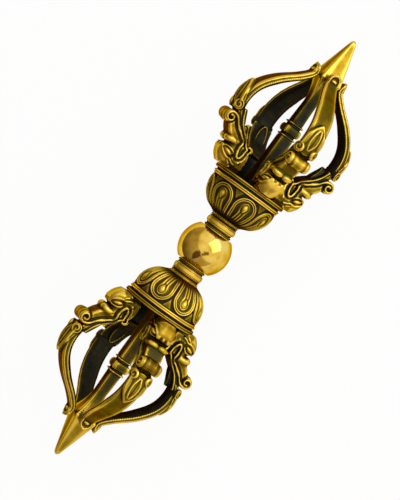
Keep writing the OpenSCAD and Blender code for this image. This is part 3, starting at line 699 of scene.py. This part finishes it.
# Snout rolled up across the head, with a groove near each end, and the flat lobes of the nose below it.
CURL = (9.75, 12.9)
CURL_R, CURL_W, CURL_EDGE = 2.05, 3.2, 0.4
CURL_GROOVE_AT, CURL_GROOVE_HALF, CURL_GROOVE_DEPTH = 2.3, 0.35, 0.2
CURL_WAIST = 0.08
from_curl = np.hypot(A - CURL[0], B - CURL[1])
curl_groove = CURL_GROOVE_DEPTH * bell(np.abs(Y) - CURL_GROOVE_AT, CURL_GROOVE_HALF)
curl_r = CURL_R - curl_groove - CURL_WAIST * bell(Y, 2.0)
head = fuse(head, slab(deep(from_curl) - curl_r, CURL_W, CURL_EDGE), 0.35)

# Each lobe of the nose has its middle and its half sizes outwards, upwards and sideways.
NOSE = [((6.0, 7.5, 1.5), (1.35, 1.15, 1.9)), ((4.5, 7.75, 2.55), (2.0, 1.05, 1.2))]
for (a, b, y), (ra, rb, ry) in NOSE:
    lobe = np.sqrt(deep(((A - a) / ra) ** 2 + ((B - b) / rb) ** 2) + ((np.abs(Y) - y) / ry) ** 2) - 1
    head = fuse(head, lobe * min(ra, rb, ry), 0.55)

# Lips as a bold ridge from the hook of the lower jaw, round the corner of the mouth and on to the snout.
# A thinner ridge follows it up to the blade, and the bold one ends in a spiral on the rolled snout.
LIP_RISE, LIP_HALF, LIP_GROOVE, SNOUT_DROP = 0.5, 0.46, 0.38, 0.3
FOLLOWER_RISE, FOLLOWER_HALF, FOLLOWER_GROOVE = 0.4, 0.38, 0.25
HOOK_HALF = 0.42
LIPS = [(-0.55, 7.6), (-0.5, 6.4), (-0.3, 5.0), (0.25, 4.25), (0.85, 4.15), (1.35, 4.8), (1.65, 5.9),
        (1.75, 7.2), (1.6, 8.4), (2.1, 9.5), (3.6, 10.3), (5.2, 11.4), (6.55, 12.6), (7.5, 13.7),
        (8.4, 14.35)]
FOLLOWER = [(-0.3, 7.85), (0.4, 8.5), (1.3, 9.7), (2.7, 10.9), (4.5, 12.4), (5.85, 14.1), (6.55, 15.3),
            (7.2, 16.8)]
HOOK = [(-0.55, 7.6), (-0.75, 8.25), (-1.35, 8.6), (-2.05, 8.35), (-2.35, 7.85), (-2.0, 7.4)]
turns = np.radians(np.linspace(100, -300, 22))
spiral_r = np.linspace(CURL_R - 0.42, 0.55, 22)
spiral = np.stack([CURL[0] + spiral_r * np.cos(turns), CURL[1] + spiral_r * np.sin(turns)], 1)
lip_gap, _, _ = path_field(np.concatenate([curve(LIPS, 6), spiral]), A, B)
follower_gap, _, _ = path_field(curve(FOLLOWER, 6), A, B)
hook_gap, _, _ = path_field(curve(HOOK, 6), A, B)
head = fuse(head, slab(deep(hook_gap - HOOK_HALF), HEAD_W - 0.25, 0.3), 0.15)
head = fuse(head, slab(deep(follower_gap - 0.4), HEAD_W * 0.86, 0.3), 0.1)
from_drop = np.hypot(A - spiral[-1, 0], B - spiral[-1, 1])
lips = LIP_RISE * rope(lip_gap, LIP_HALF) - LIP_GROOVE * bell(lip_gap - 0.8, 0.4)
lips = lips + SNOUT_DROP * bell(from_drop, 0.7)
follower = FOLLOWER_RISE * rope(follower_gap, FOLLOWER_HALF)
follower = follower - FOLLOWER_GROOVE * bell(follower_gap - 0.62, 0.3)

# Eyes with their lids, the ridge of the cheek with its branch, round dots and the knobs of the brow.
EYE, EYE_TILT = (4.0, 4.15), math.radians(20)
EYE_LONG, EYE_HIGH, EYE_RISE, EYE_GROOVE = 1.5, 0.55, 0.5, 0.34
LID_RISE, CHEEK_RISE, BRANCH_RISE, DOT_RISE = 0.3, 0.42, 0.25, 0.3
BROW_KNOB, BROW_RISE = 1.7, 0.17
DOTS = [(0.15, 5.2, 0.55), (-0.65, 2.9, 0.5), (1.2, 0.5, 0.6)]
LID = [(6.1, 4.9), (5.3, 5.5), (4.2, 5.5), (3.1, 5.05), (2.3, 4.3)]
CHEEK = [(6.4, 5.4), (6.2, 4.2), (5.4, 3.25), (4.05, 2.6), (2.45, 2.5), (1.3, 1.95), (0.3, 1.6)]
BRANCH = [(3.6, 2.55), (2.7, 1.75), (1.7, 1.1)]
eye_a = (A - EYE[0]) * math.cos(EYE_TILT) + (B - EYE[1]) * math.sin(EYE_TILT)
eye_b = (B - EYE[1]) * math.cos(EYE_TILT) - (A - EYE[0]) * math.sin(EYE_TILT)
eye_r = np.hypot(eye_a / EYE_LONG, eye_b / EYE_HIGH)
eye = EYE_RISE * rope(eye_r, 1) - EYE_GROOVE * bell(eye_r - 1.35, 0.5)
lid_gap, _, _ = path_field(curve(LID, 6), A, B)
cheek_gap, _, _ = path_field(curve(CHEEK, 6), A, B)
branch_gap, _, _ = path_field(curve(BRANCH, 6), A, B)
dots = DOT_RISE * sum(bell(np.hypot(A - a, B - b), r) for a, b, r in DOTS)
marks = eye + LID_RISE * bell(lid_gap, 0.42) + CHEEK_RISE * bell(cheek_gap, 0.48)
marks = marks + BRANCH_RISE * bell(branch_gap, 0.4)
on_sides = ease(1.2, 2.2, np.abs(Y))
head = head - deep(marks + dots) * on_sides
brow = BROW_RISE * np.cos(2 * np.pi * Y / BROW_KNOB) * deep(bell(B - 4.9, 0.95) * ease(4.4, 5.6, A))
solid = fuse(solid, head - brow, 0.2) - deep(np.where(lip_gap < follower_gap, lips, follower)) * on_sides

# Volutes at the root of the flame leaf: on each side a disc with a spiral ridge, facing half outwards.
VOLUTE_AT = (9.75, 17.2, 2.6)
VOLUTE_R, VOLUTE_PITCH, VOLUTE_PHASE = 1.65, 0.9, 0.3
VOLUTE_HALF, SPIRAL_RISE, VOLUTE_EDGE = 0.42, 0.36, 0.25
out, sideways = deep(A - VOLUTE_AT[0]), np.abs(Y) - VOLUTE_AT[2]
depth = (out + sideways) / math.sqrt(2)
in_plane, upward = (out - sideways) / math.sqrt(2), deep(B - VOLUTE_AT[1]) + 0 * Y
spread = np.hypot(in_plane, upward)
turn = np.arctan2(upward, in_plane) / (2 * np.pi)
off_spiral = (spread / VOLUTE_PITCH - turn - VOLUTE_PHASE + 0.5) % 1 - 0.5
thick = VOLUTE_HALF + SPIRAL_RISE * bell(off_spiral, 0.36) * ease(0.1, 0.45, spread)
p, q = spread - VOLUTE_R + VOLUTE_EDGE, np.abs(depth) - thick + VOLUTE_EDGE
volutes = np.minimum(np.maximum(p, q), 0) + np.hypot(np.maximum(p, 0), np.maximum(q, 0)) - VOLUTE_EDGE
solid = fuse(solid, volutes, 0.2)
solid = np.maximum(solid, deep(-B))


def rubbed(field, rounds):
    """A field with its edges rounded, more so with each round."""
    for _ in range(rounds):
        for axis in range(3):
            field = 0.5 * field + 0.25 * (np.roll(field, 1, axis) + np.roll(field, -1, axis))
    return field


# The tumbler rounds every edge a little, and the bare dome of the head is rubbed smooth.
on_dome = deep(ease(3.2, 4.6, A) * ease(4.6, 3.9, B) * ease(0.5, 1.2, B)) * ease(2.9, 2.0, np.abs(Y))
solid = rubbed(solid, 1) * (1 - on_dome) + rubbed(solid, 14) * on_dome


def filled_corners(field):
    """Fills grid corners where two parts of a solid would touch along an edge only."""
    for _ in range(6):
        inside = field < 0
        fill = np.zeros(field.shape, bool)
        for u, v in ((0, 1), (0, 2), (1, 2)):
            quarters = []
            for i, j in ((0, 0), (1, 0), (0, 1), (1, 1)):
                quarter = [slice(None)] * 3
                quarter[u] = slice(i, field.shape[u] - 1 + i)
                quarter[v] = slice(j, field.shape[v] - 1 + j)
                quarters.append(tuple(quarter))
            a, b, c, d = (inside[q] for q in quarters)
            touching = (a & d & ~b & ~c) | (b & c & ~a & ~d)
            for q in quarters:
                fill[q] |= touching
        field = np.where(fill, np.minimum(field, -0.01), field)
    return field


def skin_of(field, axes):
    """Skins the inside of a field with four-sided faces, one point to each grid cell that it crosses."""
    inside = field < 0
    shape = np.array(field.shape) - 1
    total, count = np.zeros((*shape, 3), np.float32), np.zeros(shape, np.float32)
    corners = [(i, j, k) for i in (0, 1) for j in (0, 1) for k in (0, 1)]

    def at(values, corner):
        return values[tuple(slice(c, c + n) for c, n in zip(corner, shape))]

    for one in corners:
        for axis in range(3):
            if one[axis]:
                continue
            other = tuple(1 if k == axis else c for k, c in enumerate(one))
            crosses = at(inside, one) != at(inside, other)
            f0, f1 = at(field, one), at(field, other)
            t = np.where(crosses, f0 / np.where(crosses, f0 - f1, 1), 0)
            for k in range(3):
                total[..., k] += np.where(crosses, t if k == axis else one[k], 0)
            count += crosses
    used = count > 0
    index = np.full(shape, -1)
    index[used] = np.arange(used.sum())
    cell = np.argwhere(used) + total[used] / count[used][:, None]
    points = np.stack([axes[k][0] + cell[:, k] * (axes[k][1] - axes[k][0]) for k in range(3)], 1)
    faces = []
    for axis in range(3):
        u, v = (axis + 1) % 3, (axis + 2) % 3
        here = [slice(1, -1)] * 3
        here[axis] = slice(0, -1)
        there = list(here)
        there[axis] = slice(1, None)
        a, b = inside[tuple(here)], inside[tuple(there)]
        for crossing, order in ((a & ~b, 1), (b & ~a, -1)):
            place = np.argwhere(crossing) + [0 if k == axis else 1 for k in range(3)]
            loop = []
            for du, dv in ((0, 0), (-1, 0), (-1, -1), (0, -1)):
                cell = place.copy()
                cell[:, u] += du
                cell[:, v] += dv
                loop.append(index[tuple(cell.T)])
            faces.append(np.stack(loop, 1)[:, ::order])
    return points, np.concatenate(faces)


points, faces = skin_of(filled_corners(solid.astype(np.float32)), (a_axis, y_axis, b_axis))
points = points + (FOOT_R, 0, SEAT_TOP)
points[:, 2] = np.maximum(points[:, 2], SEAT_TOP)
normals, faces = normals_of(points - points.mean(0), faces)

# The hollows keep dark patina, and the dome and the ridges are rubbed bright. Faces turned inwards and the
# inside of the cage are darker, partly patina and partly painted shade.
# The head of one prong is darkened more, as painted shade.
CAST_PATINA, DOME_BRIGHT, INWARD_PATINA_AND_SHADE = 0.47, 0.28, 0.7
PAINTED_SHADE_ON_HEAD = {("lower", "front_top"): 0.22}
cell_a = np.clip(np.rint((points[:, 0] - FOOT_R - a_axis[0]) / GRID).astype(int), 0, len(a_axis) - 1)
cell_b = np.clip(np.rint((points[:, 2] - SEAT_TOP - b_axis[0]) / GRID).astype(int), 0, len(b_axis) - 1)
# Painted shade, with some patina: the inner side of the blade and the faces turned to the middle are
# darkened.
caged_side_patina_and_shade = ease(-0.45, -0.85, blade_side[cell_a, cell_b]) * ease(7.5, 9.5, b_axis[cell_b])
inward_patina_and_shade = np.maximum(ease(0.2, 0.7, -normals[:, 0]), caged_side_patina_and_shade) * ease(41.5, 38.5, b_axis[cell_b])
hollow = hollows(points, faces, normals, 14) / 0.2 + hollows(points, faces, normals, 60) / 0.8
hollow = np.where(hollow < 0, hollow, 0.45 * hollow)
dome = ease(2.5, 4.5, points[:, 0] - FOOT_R) * ease(5.4, 4.4, b_axis[cell_b])
cast_patina_and_shade = CAST_PATINA - DOME_BRIGHT * dome + hollow + INWARD_PATINA_AND_SHADE * inward_patina_and_shade
on_head = ease(16, 12, b_axis[cell_b])
for end in ENDS:
    for name, turn in PRONG_TURNS.items():
        patina = cast_patina_and_shade + PAINTED_SHADE_ON_HEAD.get((end, name), 0.0) * on_head
        make_piece(f"{end}_prong_{name}_cast", lay_down(points, end, turn), faces,
                   f"{end}_prong_{name}", antiqued_brass, np.clip(patina, 0, 1))


# Table: a flat sheet of white paper, wide enough to fill every view.
# The vajra lies on it on the snouts of its bottom prongs.
TABLE_HALF = 1.5
TOOTH = 1.5
WHITE_LIFT = 0.94

# Uncoated paper is matt, with a slight tooth, drawn coarser than the real one so that it shows at all.
# What the eye and the metal see of it is mostly plain white, and the rest keeps the vajra's shadow.
paper, tree = new_material("white_paper")
place = add(tree, "TexCoord")
tooth = add(tree, "TexNoise", {"Vector": (place, "Object"), "Scale": 1 / (TOOTH * MM), "Detail": 4.0})
tone = add(tree, "ValToRGB", {"Fac": (tooth, "Fac")}, [(0.3, "#F6F6F6"), (0.7, "#FCFCFC")])
shine = add(tree, "BsdfPrincipled", {"Base Color": (tone, "Color"), "Roughness": 0.9})
white = add(tree, "Emission", {"Color": linear("#FFFFFF"), "Strength": 1.0})
ray = add(tree, "LightPath")
seen = add(tree, "Math", {0: (ray, "Is Camera Ray"), 1: (ray, "Is Glossy Ray")}, operation="MAXIMUM")
seen = add(tree, "Math", {0: (seen, "Value"), 1: (ray, "Is Transmission Ray")}, operation="MAXIMUM")
lift = add(tree, "Math", {0: (seen, "Value"), 1: WHITE_LIFT}, operation="MULTIPLY")
sheet = add(tree, "MixShader", {0: (lift, "Value"), 1: (shine, "BSDF"), 2: (white, "Emission")})
add(tree, "OutputMaterial", {"Surface": (sheet, "Shader")})

mesh = bpy.data.meshes.new("table_sheet")
corners = [(x * TABLE_HALF, y * TABLE_HALF, 0) for x, y in ((-1, -1), (1, -1), (1, 1), (-1, 1))]
mesh.from_pydata(corners, [], [(0, 1, 2, 3)])
mesh.materials.append(paper)
table = bpy.data.objects.new("table_sheet", mesh)
bpy.context.scene.collection.objects.link(table)


# Light: a room with a wide bright window to the right of the camera and dim walls to its left.
# A soft lamp on the window's side gives the metal its clear lights.
WINDOW_SIDE = (0.6, -0.66, 0.45)
ROOM_LIGHT = 1.05
LAMP_PLACE = np.array([0.7, -0.8, 0.48])
LAMP_SIZE, LAMP_WATTS = 1.0, 4.8

world = bpy.data.worlds.new("window_room")
bpy.context.scene.world = world
world.use_nodes = True
tree = world.node_tree
tree.nodes.clear()
view = add(tree, "TexCoord")
facing = add(tree, "VectorMath", {0: (view, "Generated"), 1: WINDOW_SIDE}, operation="DOT_PRODUCT")
toward_window = add(tree, "MapRange", {"Value": (facing, "Value"), "From Min": -1.0})
glow = add(tree, "ValToRGB", {"Fac": (toward_window, "Result")},
           [(0.0, "#4A4338"), (0.4, "#A89E8A"), (0.63, "#C2B8A4"), (0.68, "#F2F0EA"), (0.85, "#FFFFFF")])
room = add(tree, "Background", {"Color": (glow, "Color"), "Strength": ROOM_LIGHT})
add(tree, "OutputWorld", {"Surface": (room, "Background")})

lamp = bpy.data.lights.new("window_lamp", "AREA")
lamp.size, lamp.energy = LAMP_SIZE, LAMP_WATTS
lamp_stand = bpy.data.objects.new("window_lamp", lamp)
bpy.context.scene.collection.objects.link(lamp_stand)
away = LAMP_PLACE / np.linalg.norm(LAMP_PLACE)
side = np.cross((0, 1, 0), away)
side /= np.linalg.norm(side)
lamp_stand.location = LAMP_PLACE
lamp_stand.rotation_euler = Matrix(np.stack([side, np.cross(away, side), away], 1).tolist()).to_euler()


# Camera: above the vajra and a little to its front, turned so that the upper end points up and right.
# Its angles, and the pixel that shows the middle of the ball, are fitted to the photograph.
VIEW_TILT, VIEW_LEAN, VIEW_ROLL = 21.8, 1.9, 54.0
VIEW_DISTANCE = 560.0
MM_PER_PIXEL = 0.2992
BALL_PIXEL = (204.6, 248.7)
IMAGE_SIZE = (400, 500)
SENSOR = 36.0

tilt, lean, roll = (math.radians(v) for v in (VIEW_TILT, VIEW_LEAN, VIEW_ROLL))
axis = np.array([1.0, 0, 0])
above = np.array([0, -math.sin(tilt), math.cos(tilt)])
toward = math.cos(lean) * above + math.sin(lean) * axis
along = math.cos(lean) * axis - math.sin(lean) * above
across = np.cross(toward, along)
right = math.cos(roll) * along - math.sin(roll) * across
up = math.sin(roll) * along + math.cos(roll) * across
pixels_right = IMAGE_SIZE[0] / 2 - BALL_PIXEL[0]
pixels_down = IMAGE_SIZE[1] / 2 - BALL_PIXEL[1]
shift = (right * pixels_right - up * pixels_down) * MM_PER_PIXEL
camera_place = (np.array([0, 0, AXIS_H]) + shift + toward * VIEW_DISTANCE) * MM
lens = bpy.data.cameras.new("photo_camera")
lens.sensor_width = SENSOR
lens.lens = SENSOR * VIEW_DISTANCE / MM_PER_PIXEL / max(IMAGE_SIZE)
camera = bpy.data.objects.new("photo_camera", lens)
turned = Matrix(np.stack([right, up, toward], 1).tolist()).to_4x4()
camera.matrix_world = Matrix.Translation(camera_place.tolist()) @ turned
bpy.context.scene.collection.objects.link(camera)
bpy.context.scene.camera = camera
bpy.context.scene.view_settings.view_transform = "Standard"
